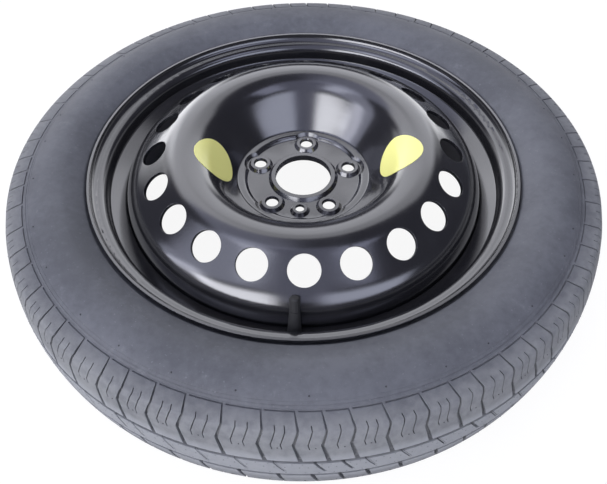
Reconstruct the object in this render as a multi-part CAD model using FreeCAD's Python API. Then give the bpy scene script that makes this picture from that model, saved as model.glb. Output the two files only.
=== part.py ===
import FreeCAD, Part
import math
import os

from FreeCAD import Vector

# Temporary spare wheel, lying flat. Z is the wheel's axis and points outboard, Z = 0 is the face
# that seats on the hub, and an azimuth runs from -Y towards +X. All lengths are in millimetres.

# Fixing to the hub
bolt_circle = 98.0
bolt_count = 5
bolt_hole = 12.6
bolt_seat_angle = 60.0
bolt_seat_depth = 1.4
first_bolt_azimuth = 31.5
centre_bore = 58.1
locating_circle = 94.0
locating_hole = 9.4

# Pressed steel disc
disc_gauge = 3.5
press_height = 3.5
collar_width = 4.2
pad_radius = 58.3
pad_bend = 1.5
moat_width = 1.2
press_run = 3.0
press_bend = 4.8
ring_width = 2.3
dish_bend = 3.2
dish_angle = 52.0
crest_bend = 36.0
cone_angle = 32.5
shoulder_height = 19.2
shoulder_bend = 36.0
skirt_depth = 27.0
boss_radius = 10.4
boss_flare = 2.6
locating_boss_radius = 7.4
vent_count = 20
vent_circle = 300.6
vent_hole = 30.2

# Rolled steel rim
rim_width = 88.9
bead_seat_diameter = 405.6
bead_seat_width = 15.4
bead_seat_taper = 5.0
bead_heel_bend = 6.0
flange_height = 14.1
flange_reach = 10.4
flange_bend = 9.5
seat_toe_bend = 5.0
well_depth = 17.3
well_wall_angle = 25.0
well_bend = 2.0
rim_gauge = 2.5
wheel_offset = 22.0

# Welds between the disc's skirt and the rim's well
weld_count = 4
weld_arc = 46.0
weld_leg = 3.0
weld_throat = 5.0

# Tyre
tyre_diameter = 606.4
section_width = 126.0
section_radius = 250.0
tread_width = 98.0
crown_radius = 160.0
tread_shoulder_bend = 9.0
shoulder_edge_radius = 278.5
shoulder_edge_width = 104.0
clinch_radius = 221.5
clinch_width = 104.0
clinch_angle = 42.0
bead_thickness = 14.0
bead_toe_rise = 8.0
bead_heel_margin = 0.5
sidewall_thickness = 7.0
crown_thickness = 12.0
liner_width = 70.0
groove_offset = 12.6
groove_width = 5.0
groove_depth = 5.0

# Snap-in valve: lengths run along its own axis from the rim's visible face
valve_azimuth = -2.7
valve_hole = 11.5
valve_head_radius = 7.0
valve_head_length = 6.5
valve_root_radius = 6.2
valve_root_length = 2.6
valve_inset = 6.7
valve_tip_radius = 4.7
valve_body_length = 22.4
stem_radius = 3.0
stem_thread_radius = 3.85
stem_length = 33.4
stem_bore_radius = 1.7
core_bore_radius = 2.6
core_bore_depth = 9.4
core_length = 8.0
core_passage_radius = 1.3
core_neck_radius = 0.75
core_neck_length = 1.4
pin_radius = 0.55
pin_collar_radius = 1.15
pin_collar_length = 0.8
pin_drop = 0.4
pin_foot_radius = 1.45
pin_foot_length = 0.8
pin_travel = 1.5
core_seal_thickness = 0.8
spring_wire = 0.3
spring_turns = 4.0
cap_radius = 4.75
cap_length = 13.2
cap_dome = 2.4
cap_seal_thickness = 1.1
cap_seal_hole_radius = 1.4
cap_flute_count = 12
cap_flute_radius = 0.55
cap_flute_depth = 0.3

# Round speed labels stuck on the dish
label_diameter = 50.0
label_film = 0.2
left_label_radius = 89.0
left_label_azimuth = -87.0
right_label_radius = 95.0
right_label_azimuth = 85.0

# Fits
press_fit = 0.15
bead_fit = 0.05
valve_seat_fit = 0.15
core_fit = 0.05
cap_fit = 0.08
cap_gap = 0.3
cap_seal_fit = 0.05
weld_fit = 0.1
label_fit = 0.1

axis = Vector(0, 0, 1)
origin = Vector(0, 0, 0)

rim_centre = -wheel_offset
seat_radius = bead_seat_diameter / 2
lip_radius = seat_radius + flange_height
well_radius = seat_radius - well_depth
well_bore = well_radius - rim_gauge
flange_face = rim_width / 2


def tangent(degrees):
    return math.tan(math.radians(degrees))


def around(radius, azimuth, height=0.0):
    """Point at a radius, an azimuth and a height."""
    turn = math.radians(azimuth)
    return Vector(radius * math.sin(turn), -radius * math.cos(turn), height)


def in_section(radius, height):
    """Point of a section, drawn in the half plane of +X and Z."""
    return Vector(radius, 0, height)


def meeting(point_a, slope_a, point_b, slope_b):
    """Where two straight lines of a section meet, each given by a point and its slope."""
    radius = (point_b[1] - point_a[1] + slope_a * point_a[0] - slope_b * point_b[0]) / (slope_a - slope_b)
    return radius, point_a[1] + slope_a * (radius - point_a[0])


def offset_corners(corners, distance):
    """Corners of the parallel path at a distance to the left, with its bends about the same centres."""
    moved = []
    for index, (radius, height, bend) in enumerate(corners):
        here = Vector(radius, height, 0)
        before = corners[index - 1] if index else None
        after = corners[index + 1] if index + 1 < len(corners) else None
        ahead = (Vector(after[0], after[1], 0) - here).normalize() if after else None
        behind = (here - Vector(before[0], before[1], 0)).normalize() if before else ahead
        ahead = ahead or behind
        left_behind = Vector(-behind.y, behind.x, 0)
        left_ahead = Vector(-ahead.y, ahead.x, 0)
        shift = (left_behind + left_ahead) * (distance / (1 + left_behind.dot(left_ahead)))
        turns_left = behind.cross(ahead).z > 0
        new_bend = bend - distance if turns_left else bend + distance
        place = here + shift
        moved.append((place.x, place.y, new_bend if bend else 0.0))
    return moved


def bend_at(corners, index):
    """Start, middle, end and centre of the arc that rounds one corner of a path."""
    corner = in_section(*corners[index][:2])
    inward = (in_section(*corners[index - 1][:2]) - corner).normalize()
    outward = (in_section(*corners[index + 1][:2]) - corner).normalize()
    bend = corners[index][2]
    half_angle = inward.getAngle(outward) / 2
    run = bend / math.tan(half_angle)
    across = (inward + outward).normalize()
    middle = corner + across * (bend / math.sin(half_angle) - bend)
    return corner + inward * run, middle, corner + outward * run, middle + across * bend


def path_edges(corners):
    """Straight runs and tangent arcs through corners of radius, height and bend."""
    edges = []
    start = in_section(*corners[0][:2])
    for index in range(1, len(corners) - 1):
        arc_start, arc_middle, arc_end, _ = bend_at(corners, index)
        edges.append(Part.makeLine(start, arc_start))
        if corners[index][2]:
            edges.append(Part.Arc(arc_start, arc_middle, arc_end).toShape())
        start = arc_end
    edges.append(Part.makeLine(start, in_section(*corners[-1][:2])))
    return edges


def end_point(edge, last):
    return edge.valueAt(edge.LastParameter if last else edge.FirstParameter)


def sheet_ring(corners, gauge, degrees=360.0):
    """Revolved sheet: corners give one face, and the metal lies to its left by its gauge."""
    face = path_edges(corners)
    back = path_edges(offset_corners(corners, gauge))
    first = Part.makeLine(end_point(face[0], False), end_point(back[0], False))
    last = Part.makeLine(end_point(face[-1], True), end_point(back[-1], True))
    wire = Part.Wire(Part.__sortEdges__(face + back + [first, last]))
    return Part.Face(wire).revolve(origin, axis, degrees)


def revolved(points, degrees=360.0):
    """Solid ring of a section with straight sides."""
    outline = Part.makePolygon([in_section(*point) for point in points + points[:1]])
    return Part.Face(outline).revolve(origin, axis, degrees)


def patterned(shape, count, start):
    """Copies of a shape made at azimuth zero, spread evenly from a first azimuth."""
    copies = []
    for index in range(count):
        copies.append(shape.rotated(origin, axis, start + index * 360.0 / count))
    return copies


def drum(radius, base, tip, centre=origin):
    """Cylinder along Z between two heights."""
    return Part.makeCylinder(radius, tip - base, centre + axis * base)


# Disc

press_top = disc_gauge + press_height
bore_radius = centre_bore / 2
skirt_radius = well_bore - press_fit
bolt_radius = bolt_circle / 2
moat_radius = boss_radius + boss_flare + moat_width
dish_radius = bolt_radius + moat_radius + press_run + ring_width
dish_start = (dish_radius, press_top)
shoulder = (skirt_radius, shoulder_height)
crest = meeting(dish_start, tangent(dish_angle), shoulder, -tangent(cone_angle))

disc_face = [
    (bore_radius, disc_gauge, 0.0),
    (pad_radius, disc_gauge, pad_bend),
    (pad_radius + press_run, press_top, press_bend),
    (dish_radius, press_top, dish_bend),
    (crest[0], crest[1], crest_bend),
    (skirt_radius, shoulder_height, shoulder_bend),
    (skirt_radius, -skirt_depth, 0.0),
]


def pressed_boss(radius, place):
    """Conical boss raised on the pad, and the hollow that its pressing leaves behind it."""
    boss = Part.makeCone(radius + boss_flare, radius, press_height, place + axis * disc_gauge)
    hollow_top = radius - disc_gauge / 2
    return boss, Part.makeCone(hollow_top + boss_flare, hollow_top, press_height, place)


def make_disc():
    """Pressed disc: a pad with bolt bosses in moats, a dish, a crest, a vent ring and all its holes."""
    disc = sheet_ring(disc_face, -disc_gauge)
    bolt_place = around(bolt_radius, 0)
    wall_angle = math.degrees(math.atan2(press_height, press_run))
    back_radius = moat_radius + disc_gauge * tangent(wall_angle / 2)
    back_run = press_run * disc_gauge / press_height
    moat_back = Part.makeCone(back_radius, back_radius + back_run, disc_gauge, bolt_place)
    moat = Part.makeCone(moat_radius, moat_radius + press_run, press_height, bolt_place + axis * disc_gauge)
    disc = disc.fuse(patterned(moat_back, bolt_count, first_bolt_azimuth))
    disc = disc.cut(patterned(moat, bolt_count, first_bolt_azimuth))
    collar_radius = bore_radius + collar_width
    collar = revolved([
        (bore_radius, 0.0),
        (collar_radius + press_run, 0.0),
        (collar_radius + press_run, disc_gauge),
        (collar_radius, press_top),
        (bore_radius, press_top),
    ])
    locating_azimuth = first_bolt_azimuth - 180.0 / bolt_count
    locating_place = around(locating_circle / 2, locating_azimuth)
    boss, hollow = pressed_boss(boss_radius, bolt_place)
    small_boss, small_hollow = pressed_boss(locating_boss_radius, locating_place)
    disc = disc.fuse([collar, small_boss] + patterned(boss, bolt_count, first_bolt_azimuth))
    disc = disc.cut([small_hollow] + patterned(hollow, bolt_count, first_bolt_azimuth))
    hole_radius = bolt_hole / 2
    seat_radius_top = hole_radius + bolt_seat_depth * tangent(bolt_seat_angle / 2)
    hole = drum(hole_radius, -disc_gauge, press_top + disc_gauge, bolt_place)
    seat_base = bolt_place + axis * (press_top - bolt_seat_depth)
    seat = Part.makeCone(hole_radius, seat_radius_top, bolt_seat_depth, seat_base)
    locator = drum(locating_hole / 2, -disc_gauge, press_top + disc_gauge, locating_place)
    vent_radius = vent_circle / 2
    vent_height = shoulder_height + (skirt_radius - vent_radius) * tangent(cone_angle)
    lean = math.radians(cone_angle)
    normal = Vector(0, -math.sin(lean), math.cos(lean))
    reach = vent_hole
    vent_base = around(vent_radius, 0, vent_height) - normal * reach
    vent = Part.makeCylinder(vent_hole / 2, 2 * reach, vent_base, normal)
    holes = patterned(hole, bolt_count, first_bolt_azimuth) + patterned(seat, bolt_count, first_bolt_azimuth)
    return disc.cut(holes + patterned(vent, vent_count, 0.0) + [locator])


# Rim

seat_fall = bead_seat_width * tangent(bead_seat_taper)
well_run = (well_depth - seat_fall) * tangent(well_wall_angle)
seat_toe = flange_face - bead_seat_width

rim_half = [
    (lip_radius, flange_face + flange_reach, 0.0),
    (lip_radius, flange_face, flange_bend),
    (seat_radius, flange_face, bead_heel_bend),
    (seat_radius - seat_fall, seat_toe, seat_toe_bend),
    (well_radius, seat_toe - well_run, well_bend),
]


def make_rim(valve_frame):
    """Rolled drop-centre rim, the same on both sides, with the valve's hole in its well wall."""
    outboard = [(radius, rim_centre + side, bend) for radius, side, bend in rim_half]
    inboard = [(radius, rim_centre - side, bend) for radius, side, bend in reversed(rim_half)]
    rim = sheet_ring(outboard + inboard, -rim_gauge)
    hole = Part.makeCylinder(valve_hole / 2, 6 * rim_gauge, axis * (-3 * rim_gauge))
    return rim.cut(placed(hole, valve_frame))


# The valve stands square on the visible face of the outboard well wall.

visible_corners = offset_corners(rim_half, -rim_gauge)
ledge_top = visible_corners[3]
ledge_radius = ledge_top[0] - valve_inset
ledge_height = rim_centre + ledge_top[1] - valve_inset * tangent(well_wall_angle)


def valve_frame():
    """Place of the valve: its own Z leaves the rim, leaning to the wheel's axis."""
    lean = FreeCAD.Rotation(Vector(1, 0, 0), -well_wall_angle)
    turn = FreeCAD.Rotation(axis, valve_azimuth)
    return FreeCAD.Placement(around(ledge_radius, valve_azimuth, ledge_height), turn.multiply(lean))


def placed(shape, frame):
    """The shape moved from its own frame to the wheel's."""
    moved = shape.copy()
    moved.Placement = frame.multiply(moved.Placement)
    return moved


# Welds

def make_welds():
    """Fillet welds along the inboard end of the disc's skirt, spread evenly."""
    seat = well_bore - weld_fit
    seam = revolved([
        (seat, -skirt_depth),
        (seat, -skirt_depth - weld_throat),
        (seat - weld_leg, -skirt_depth),
    ], weld_arc)
    return patterned(seam, weld_count, -weld_arc / 2)


# Tyre

def make_tyre():
    """Hollow tyre: crown, shoulders, sidewalls and beads that seat on the rim, with two tread grooves."""
    crown = tyre_diameter / 2
    half_tread = tread_width / 2
    tread_edge = crown - crown_radius + math.sqrt(crown_radius ** 2 - half_tread ** 2)
    seat = seat_radius + bead_fit
    face = flange_face - bead_fit
    clinch_half = clinch_width / 2
    bead_top = clinch_radius - (clinch_half - face) / tangent(clinch_angle)
    toe = face - bead_thickness
    toe_radius = seat - bead_thickness * tangent(bead_seat_taper)
    liner_radius = crown - crown_thickness
    shoulder_half = shoulder_edge_width / 2
    section_half = section_width / 2

    def side_edges(side):
        """Outline of one side, from the tread's edge round the bead to the liner."""
        def at(radius, offset):
            return in_section(radius, rim_centre + side * offset)

        def bulge(wall):
            ends = at(shoulder_edge_radius, shoulder_half - wall), at(clinch_radius, clinch_half - wall)
            return Part.Arc(ends[0], at(section_radius, section_half - wall), ends[1]).toShape()

        bead = Part.makePolygon([
            at(clinch_radius, clinch_half),
            at(bead_top, face),
            at(seat, face),
            at(toe_radius, toe),
            at(toe_radius + bead_toe_rise, toe),
            at(clinch_radius, clinch_half - sidewall_thickness),
        ])
        buttress = Part.makeLine(at(tread_edge, half_tread), at(shoulder_edge_radius, shoulder_half))
        inner = Part.makeLine(at(shoulder_edge_radius, shoulder_half - sidewall_thickness),
                              at(liner_radius, liner_width / 2))
        return [buttress, bulge(0.0), bulge(sidewall_thickness), inner] + bead.Edges

    ends = in_section(tread_edge, rim_centre + half_tread), in_section(tread_edge, rim_centre - half_tread)
    tread = Part.Arc(ends[0], in_section(crown, rim_centre), ends[1]).toShape()
    liner = Part.makeLine(in_section(liner_radius, rim_centre + liner_width / 2),
                          in_section(liner_radius, rim_centre - liner_width / 2))
    outline = Part.Wire(Part.__sortEdges__([tread, liner] + side_edges(1) + side_edges(-1)))
    tyre = Part.Face(outline).revolve(origin, axis, 360)
    tyre = rounded(tyre, tread_edge, half_tread, tread_shoulder_bend)
    tyre = rounded(tyre, seat, face, bead_heel_bend + bead_heel_margin)
    floor = crown - groove_depth
    grooves = []
    for side in (-1, 1):
        base = rim_centre + side * groove_offset - groove_width / 2
        outer = drum(crown + groove_depth, base, base + groove_width)
        grooves.append(outer.cut(drum(floor, base, base + groove_width)))
    return tyre.cut(grooves)


def rounded(ring, radius, offset, bend):
    """Ring whose circular edges at a radius, on both sides of the rim's centre, are rounded."""
    chosen = []
    for edge in ring.Edges:
        if hasattr(edge.Curve, "Radius") and hasattr(edge.Curve, "Center"):
            side = abs(edge.Curve.Center.z - rim_centre)
            level = edge.Curve.Axis.z ** 2 > 0.5
            if level and abs(edge.Curve.Radius - radius) < press_fit and abs(side - offset) < press_fit:
                chosen.append(edge)
    return ring.makeFillet(bend, chosen)


# Valve, drawn on its own axis

valve_foot = -rim_gauge - valve_head_length
core_base = stem_length - core_bore_depth
core_top = core_base + core_length
pin_top = stem_length - pin_drop
collar_top = core_top - pin_drop
foot_top = core_base - core_seal_thickness
cap_base = valve_body_length + cap_gap
cap_bore_radius = stem_thread_radius + cap_fit
cap_seal_base = stem_length + cap_seal_fit
cap_roof = cap_seal_base + cap_seal_thickness


def make_valve_body():
    """Rubber body: its head sits inside the rim, its neck in the hole and its cone outside."""
    return revolved([
        (stem_radius, valve_foot),
        (valve_head_radius, valve_foot),
        (valve_head_radius, -rim_gauge - valve_seat_fit),
        (valve_hole / 2 - press_fit, -rim_gauge - valve_seat_fit),
        (valve_hole / 2 - press_fit, valve_seat_fit),
        (valve_root_radius, valve_seat_fit),
        (valve_root_radius, valve_root_length),
        (valve_tip_radius, valve_body_length),
        (stem_radius, valve_body_length),
    ])


def make_valve_stem():
    """Brass tube bonded in the body, wider where the cap screws on, stepped inside for the core."""
    return revolved([
        (stem_bore_radius, valve_foot),
        (stem_radius, valve_foot),
        (stem_radius, valve_body_length),
        (stem_thread_radius, valve_body_length),
        (stem_thread_radius, stem_length),
        (core_bore_radius, stem_length),
        (core_bore_radius, core_base),
        (stem_bore_radius, core_base),
    ])


def make_core_body():
    """Brass core screwed in the stem, with a neck that guides the pin and carries the spring."""
    return revolved([
        (core_neck_radius, core_base),
        (core_bore_radius - core_fit, core_base),
        (core_bore_radius - core_fit, core_top),
        (core_passage_radius, core_top),
        (core_passage_radius, core_base + core_neck_length),
        (core_neck_radius, core_base + core_neck_length),
    ])


def make_core_pin():
    """Steel pin with a collar for the spring and a foot that holds the seal."""
    return revolved([
        (0.0, foot_top - pin_foot_length),
        (pin_foot_radius, foot_top - pin_foot_length),
        (pin_foot_radius, foot_top),
        (pin_radius, foot_top),
        (pin_radius, collar_top - pin_collar_length),
        (pin_collar_radius, collar_top - pin_collar_length),
        (pin_collar_radius, collar_top),
        (pin_radius, collar_top),
        (pin_radius, pin_top),
        (0.0, pin_top),
    ])


def make_core_seal():
    """Rubber washer on the pin's foot, closed against the core's base."""
    return drum(pin_foot_radius, foot_top, core_base).cut(drum(pin_radius, foot_top, core_base))


def make_core_spring():
    """Coil spring between the core's neck and the pin's collar."""
    radius = (core_passage_radius + pin_radius) / 2
    base = core_base + core_neck_length + spring_wire / 2
    height = collar_top - pin_collar_length - spring_wire / 2 - base
    coil = Part.Wire(Part.makeHelix(height / spring_turns, height, radius).Edges)
    coil.translate(axis * base)
    half = spring_wire / 2
    corners = [(radius - half, base - half), (radius + half, base - half), (radius + half, base + half),
               (radius - half, base + half), (radius - half, base - half)]
    wire = Part.makePolygon([in_section(*corner) for corner in corners])
    return coil.makePipeShell([wire], True, True)


def make_cap():
    """Screw cap with a domed top and fluted sides, open below for the stem."""
    cap = drum(cap_radius, cap_base, cap_base + cap_length)
    rim_edge = [edge for edge in cap.Edges if edge.BoundBox.ZMin > cap_base + cap_length - press_fit]
    cap = cap.makeFillet(cap_dome, rim_edge)
    flute_place = around(cap_radius + cap_flute_radius - cap_flute_depth, 0)
    flute = drum(cap_flute_radius, cap_base, cap_base + cap_length - cap_dome, flute_place)
    cap = cap.cut(patterned(flute, cap_flute_count, 0.0))
    return cap.cut(drum(cap_bore_radius, cap_base, cap_roof))


def make_cap_seal():
    """Rubber washer under the cap's roof."""
    radius = cap_bore_radius - cap_fit
    return drum(radius, cap_seal_base, cap_roof).cut(drum(cap_seal_hole_radius, cap_seal_base, cap_roof))


# Labels

def dish_at(radius):
    """Height of the dish or its crest at a radius, and how far it leans there."""
    crest_start, _, _, centre = bend_at(disc_face, 4)
    if radius < crest_start.x:
        return dish_start[1] + (radius - dish_start[0]) * tangent(dish_angle), -dish_angle
    rise = math.sqrt(crest_bend ** 2 - (radius - centre.x) ** 2)
    return centre.z + rise, math.degrees(math.atan2(radius - centre.x, rise))


def make_label(radius, azimuth):
    """Round film that follows the dish and the crest where it is stuck."""
    film = sheet_ring(offset_corners(disc_face[3:6], label_fit), label_film)
    height, lean = dish_at(radius)
    normal = FreeCAD.Rotation(Vector(1, 0, 0), lean).multVec(axis)
    start = around(radius, 0, height) - normal * label_diameter
    punch = Part.makeCylinder(label_diameter / 2, 2 * label_diameter, start, normal)
    return film.common(punch.rotated(origin, axis, azimuth))


os.makedirs("parts", exist_ok=True)
frame = valve_frame()
nodes = {
    "wheel_disc": make_disc(),
    "wheel_rim": make_rim(frame),
    "tyre": make_tyre(),
    "valve_body": placed(make_valve_body(), frame),
    "valve_stem": placed(make_valve_stem(), frame),
    "core_body": placed(make_core_body(), frame),
    "core_pin": placed(make_core_pin(), frame),
    "core_seal": placed(make_core_seal(), frame),
    "core_spring": placed(make_core_spring(), frame),
    "valve_cap": placed(make_cap(), frame),
    "cap_seal": placed(make_cap_seal(), frame),
}
for number, seam in enumerate(make_welds(), 1):
    nodes["weld_seam_%d" % number] = seam
nodes["speed_label_left"] = make_label(left_label_radius, left_label_azimuth)
nodes["speed_label_right"] = make_label(right_label_radius, right_label_azimuth)
for name, shape in nodes.items():
    print(name, shape.isValid(), len(shape.Solids), "%.3f cm3" % (shape.Volume / 1000), shape.BoundBox)
    shape.exportStep("parts/%s.step" % name)
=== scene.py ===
"""Looks of a temporary spare wheel: its moulded tyre, painted steel wheel, valve and studio."""

from __future__ import annotations

import logging
import math
from dataclasses import dataclass, field
from enum import Enum
from typing import Any, Iterable, Sequence

import bmesh
import bpy
import numpy as np
from mathutils import Matrix, Vector

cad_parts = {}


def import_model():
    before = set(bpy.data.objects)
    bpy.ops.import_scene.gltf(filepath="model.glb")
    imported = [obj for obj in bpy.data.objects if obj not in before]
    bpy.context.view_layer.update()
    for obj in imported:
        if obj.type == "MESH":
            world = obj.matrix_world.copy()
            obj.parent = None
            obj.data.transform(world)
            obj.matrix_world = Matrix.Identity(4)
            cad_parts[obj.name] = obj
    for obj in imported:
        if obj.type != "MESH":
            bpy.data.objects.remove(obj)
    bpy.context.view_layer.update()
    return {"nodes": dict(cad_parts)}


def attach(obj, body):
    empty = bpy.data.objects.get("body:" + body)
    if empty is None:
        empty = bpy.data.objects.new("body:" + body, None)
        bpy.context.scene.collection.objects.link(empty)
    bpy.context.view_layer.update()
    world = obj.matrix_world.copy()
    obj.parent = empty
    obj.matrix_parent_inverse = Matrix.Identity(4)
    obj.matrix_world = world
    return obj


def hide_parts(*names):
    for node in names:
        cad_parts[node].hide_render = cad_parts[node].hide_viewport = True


LOG = logging.getLogger("spare_wheel")
MM = 0.001
TOUCH = 1e-4
PHOTO_WIDTH = 607

Colour = tuple[float, float, float]
Number = "Value | float"


# Node graphs


class Graph:
    """A node tree that is written as Python expressions."""

    def __init__(self, tree: bpy.types.NodeTree) -> None:
        """Wraps a tree and empties it."""
        self.tree = tree
        tree.nodes.clear()

    def node(self, kind: str, settings: dict[str, Any] | None = None,
             sockets: dict[str | int, Any] | None = None) -> bpy.types.Node:
        """Adds a node.

        Args:
            kind: The node's type.
            settings: Its properties, which are set first.
            sockets: Values or links of its inputs, by name or number.

        Returns:
            The new node.
        """
        node = self.tree.nodes.new(kind)
        for name, value in (settings or {}).items():
            setattr(node, name, value)
        for key, value in (sockets or {}).items():
            if isinstance(value, Value):
                self.tree.links.new(value.socket, node.inputs[key])
            elif isinstance(value, bpy.types.NodeSocket):
                self.tree.links.new(value, node.inputs[key])
            elif isinstance(value, tuple) and node.inputs[key].type == "RGBA":
                node.inputs[key].default_value = (*value, 1.0)
            else:
                node.inputs[key].default_value = value
        return node

    def math(self, operation: str, *terms: Number) -> "Value":
        """Adds a Math node on values and numbers, and returns its result."""
        sockets = dict(enumerate(terms))
        return Value(self, self.node("ShaderNodeMath", {"operation": operation}, sockets).outputs[0])

    def step(self, value: "Value", low: float, high: float) -> "Value":
        """Smooth step of a value.

        Args:
            value: The value.
            low: Where the step is 0.
            high: Where it is 1; this may be the lower one.

        Returns:
            The step, from 0 to 1.
        """
        node = self.node("ShaderNodeMapRange", {"interpolation_type": "SMOOTHSTEP"},
                         {"Value": value, "From Min": low, "From Max": high})
        return Value(self, node.outputs[0])

    def noise(self, vector: bpy.types.NodeSocket, scale: float, detail: float = 3.0,
              roughness: float = 0.55) -> "Value":
        """Noise over a vector.

        Args:
            vector: Coordinates in metres.
            scale: Scale per metre.
            detail: Number of finer layers.
            roughness: Weight of the finer layers.

        Returns:
            The noise, from 0 to 1.
        """
        node = self.node("ShaderNodeTexNoise", None, {"Vector": vector, "Scale": scale, "Detail": detail,
                                                      "Roughness": roughness})
        return Value(self, node.outputs[0])

    def mix(self, factor: "Value", first: Any, second: Any) -> bpy.types.NodeSocket:
        """Mix of two colours.

        Args:
            factor: Share of the second colour, from 0 to 1.
            first: A colour or its socket.
            second: A colour or its socket.

        Returns:
            The mixed colour's socket.
        """
        node = self.node("ShaderNodeMix", {"data_type": "RGBA", "clamp_factor": True},
                         {0: factor, 6: first, 7: second})
        return node.outputs[2]


@dataclass(frozen=True)
class Value:
    """A number that a node gives; its operators add Math nodes."""

    graph: Graph
    socket: bpy.types.NodeSocket

    def __add__(self, other: Number) -> "Value":
        """Sum."""
        return self.graph.math("ADD", self, other)

    __radd__ = __add__

    def __sub__(self, other: Number) -> "Value":
        """Difference."""
        return self.graph.math("SUBTRACT", self, other)

    def __rsub__(self, other: Number) -> "Value":
        """Difference from a number."""
        return self.graph.math("SUBTRACT", other, self)

    def __mul__(self, other: Number) -> "Value":
        """Product."""
        return self.graph.math("MULTIPLY", self, other)

    __rmul__ = __mul__

    def __pow__(self, other: Number) -> "Value":
        """Power."""
        return self.graph.math("POWER", self, other)


# Finishes


class Finish:
    """A finish that makes one procedural material."""

    name = "finish"

    def material(self) -> bpy.types.Material:
        """Builds the material, or returns the one built before.

        Returns:
            The finish's material.
        """
        found = bpy.data.materials.get(self.name)
        if found:
            return found
        made = bpy.data.materials.new(self.name)
        made.use_nodes = True
        graph = Graph(made.node_tree)
        shader = self.shade(graph)
        graph.node("ShaderNodeOutputMaterial", None, {"Surface": shader.outputs[0]})
        return made

    def shade(self, graph: Graph) -> bpy.types.Node:
        """Adds the finish's shader to a graph and returns it."""
        raise NotImplementedError

    @staticmethod
    def place(graph: Graph) -> tuple[bpy.types.NodeSocket, "Value", "Value"]:
        """Reads where a point lies on the wheel.

        Args:
            graph: The material's graph.

        Returns:
            Object coordinates, the distance from the wheel's axis and the height.
        """
        coords = graph.node("ShaderNodeTexCoord").outputs["Object"]
        parts = graph.node("ShaderNodeSeparateXYZ", None, {0: coords})
        across, along, height = (Value(graph, parts.outputs[i]) for i in range(3))
        return coords, (across * across + along * along) ** 0.5, height

    @staticmethod
    def bump(graph: Graph, height: "Value", distance: float, edge: float = 0.0) -> bpy.types.NodeSocket:
        """Normal from a height.

        Args:
            graph: The material's graph.
            height: A value from 0 to 1.
            distance: What the height stands for, in metres.
            edge: Radius in metres to which sharp edges look rounded, or 0 to leave them sharp.

        Returns:
            The normal.
        """
        sockets: dict[str | int, Any] = {"Height": height, "Distance": distance}
        if edge:
            rounded = graph.node("ShaderNodeBevel", {"samples": 6}, {"Radius": edge})
            sockets["Normal"] = rounded.outputs[0]
        return graph.node("ShaderNodeBump", None, sockets).outputs[0]


@dataclass(frozen=True)
class TyreRubber(Finish):
    """Vulcanised rubber: blue-grey black, dusty on the tread, with a fine moulded grain."""

    name: str = "tyre_rubber"
    deep: Colour = (0.084, 0.087, 0.096)
    bloom: Colour = (0.126, 0.130, 0.141)
    dust: Colour = (0.218, 0.222, 0.219)
    scuff: Colour = (0.230, 0.236, 0.246)
    pale: Colour = (0.34, 0.35, 0.355)
    tread_radius: float = 0.2765
    rib_radius: float = 0.3020

    def shade(self, graph: Graph) -> bpy.types.Node:
        """Colour clouds, scuffs and specks, a dusty tread with a paler rib, and two scales of grain.

        Args:
            graph: The material's graph.

        Returns:
            The shader's node.
        """
        coords, radius, _ = self.place(graph)
        clouds = graph.noise(coords, 14.0, 4.0)
        mottle = graph.noise(coords, 160.0, 3.0)
        grain = graph.noise(coords, 1500.0, 2.0)
        on_tread = graph.step(radius, self.tread_radius - 0.004, self.tread_radius + 0.016)
        on_rib = graph.step(radius, self.rib_radius - 0.0012, self.rib_radius)
        smears = graph.noise(coords, 46.0, 5.0, 0.75)
        specks = graph.step(graph.noise(coords, 420.0, 1.0), 0.70, 0.76)
        bloomed = graph.step(clouds * 0.45 + mottle * 0.25 + smears * 0.3, 0.36, 0.64)
        wall = graph.mix(bloomed, self.deep, self.bloom)
        wall = graph.mix(graph.step(smears, 0.60, 0.74) * 0.22 + specks * 0.30, wall, self.scuff)
        dusty = on_tread * (0.35 + 0.65 * graph.step(clouds * 0.5 + mottle * 0.5, 0.3, 0.7))
        colour = graph.mix(dusty, wall, self.dust)
        colour = graph.mix(on_rib * 0.45, colour, self.pale)
        rings = graph.math("SINE", radius * 5200.0) * (1 - on_tread)
        height = grain * 0.5 + mottle * 0.4 + rings * 0.06
        return graph.node("ShaderNodeBsdfPrincipled", None, {
            "Base Color": colour, "Roughness": 0.52 + 0.16 * mottle, "Specular IOR Level": 0.45,
            "Normal": self.bump(graph, height, 0.00018)})


@dataclass(frozen=True)
class WheelPaint(Finish):
    """Semi-gloss black dipped paint with a slight orange peel."""

    name: str = "wheel_paint"
    colour: Colour = (0.011, 0.011, 0.013)
    dust: Colour = (0.030, 0.030, 0.032)
    edge: float = 0.0008

    def shade(self, graph: Graph) -> bpy.types.Node:
        """Orange peel, faint dust clouds and a roughness that follows them.

        Args:
            graph: The material's graph.

        Returns:
            The shader's node.
        """
        coords, _, _ = self.place(graph)
        clouds = graph.noise(coords, 22.0, 4.0)
        peel = graph.noise(coords, 420.0, 1.0)
        specks = graph.step(graph.noise(coords, 900.0, 1.0), 0.70, 0.78)
        colour = graph.mix(graph.step(clouds, 0.45, 0.8) * 0.5 + specks * 0.4, self.colour, self.dust)
        rough = 0.15 + 0.07 * clouds + 0.05 * specks
        return graph.node("ShaderNodeBsdfPrincipled", None, {
            "Base Color": colour, "Roughness": rough, "Specular IOR Level": 1.0,
            "Coat Weight": 1.0, "Coat Roughness": 0.09,
            "Normal": self.bump(graph, peel, 0.00003, self.edge)})


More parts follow.
